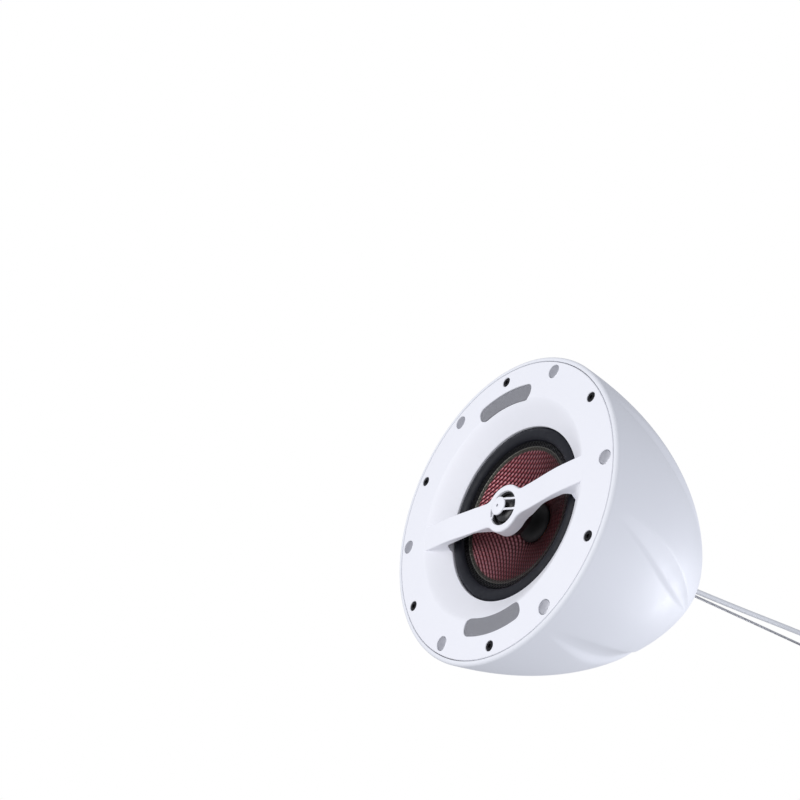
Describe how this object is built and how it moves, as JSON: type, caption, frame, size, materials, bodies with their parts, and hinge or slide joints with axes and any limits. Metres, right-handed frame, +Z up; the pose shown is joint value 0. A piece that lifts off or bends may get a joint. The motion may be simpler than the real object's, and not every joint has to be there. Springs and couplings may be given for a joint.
{
  "type": "pendant speaker",
  "caption": "Bell-shaped loudspeaker with twisted flutes that hangs face down from a steel rope, with a woofer behind a bridge that carries the tweeter.",
  "frame": {"origin": "middle of the ceiling plate's top face, where the part meets the ceiling", "axes": "+Z up along the rope, +X along the tweeter's bridge, +Y through one port slot; the loudspeaker's face points down"},
  "size_m": [0.2746, 0.2746, 0.4743],
  "materials": {
    "white_abs": "fine satin texture, moulded",
    "black_steel": "black passivated or powder coated",
    "nickel": "nickel plated",
    "foam": "closed-cell foam",
    "black_plastic": "moulded",
    "screen_cloth": "open acoustic mesh",
    "surround_rubber": "smooth, low sheen",
    "woven_cone": "woven fibre in resin",
    "copper": "enamelled copper wire",
    "treated_cloth": "resin-treated cloth or paper tape",
    "steel": "zinc plated steel",
    "ferrite": "sintered ferrite",
    "black_silk": "coated silk",
    "red_wire": "insulated wire",
    "board": "glass-fibre circuit board",
    "white_pvc": "soft, low sheen",
    "white_paint": "powder coated"
  },
  "bodies": {
    "speaker": {"baffle": "white_abs", "baffle_gasket": "foam", "baffle_screw_1": "black_steel", "baffle_screw_2": "black_steel", "baffle_screw_3": "black_steel", "baffle_screw_4": "black_steel", "baffle_screw_5": "black_steel", "baffle_screw_6": "black_steel", "basket_screw_1": "black_steel", "basket_screw_2": "black_steel", "basket_screw_3": "black_steel", "basket_screw_4": "black_steel", "cable_grommet": "white_pvc", "capacitor": "black_plastic", "ceiling_cup": "white_paint", "ceiling_plate": "steel", "crossover_board": "board", "cup_collar": "white_paint", "ferrite_magnet": "ferrite", "grille_magnet_1": "nickel", "grille_magnet_2": "nickel", "grille_magnet_3": "nickel", "grille_magnet_4": "nickel", "grille_magnet_5": "nickel", "grille_magnet_6": "nickel", "housing": "white_abs", "inductor": "copper", "lead_gland": "white_pvc", "lead_tail": "white_pvc", "port_duct_1": "black_plastic", "port_duct_2": "black_plastic", "port_screen_1": "screen_cloth", "port_screen_2": "screen_cloth", "rope_anchor": "nickel", "rope_stopper": "nickel", "speaker_lead": "white_pvc", "spider": "treated_cloth", "steel_rope": "steel", "suspension_plate": "steel", "terminal_block": "white_pvc", "terminal_tag": "black_plastic", "top_plate": "steel", "transformer_bracket": "steel", "transformer_coil": "treated_cloth", "transformer_core": "steel", "tweeter_cap": "black_plastic", "tweeter_dome": "black_silk", "tweeter_lead": "red_wire", "tweeter_magnet": "nickel", "tweeter_plate": "black_plastic", "tweeter_pole": "steel", "tweeter_yoke": "black_steel", "woofer_basket": "black_steel", "woofer_gasket": "foam", "woofer_lead": "red_wire", "woofer_surround": "surround_rubber", "yoke": "steel"},
    "cone": {"woofer_cone": "woven_cone", "dust_cap": "black_plastic", "voice_coil": "copper"}
  },
  "joints": [
    {"name": "cone_travel", "type": "slide", "parent": "speaker", "child": "cone", "axis": [0, 0, 1], "range_m": [-0.0035, 0.0035], "stiffness_N_per_m": 1500, "deforming": ["woofer_surround", "spider"]}
  ]
}
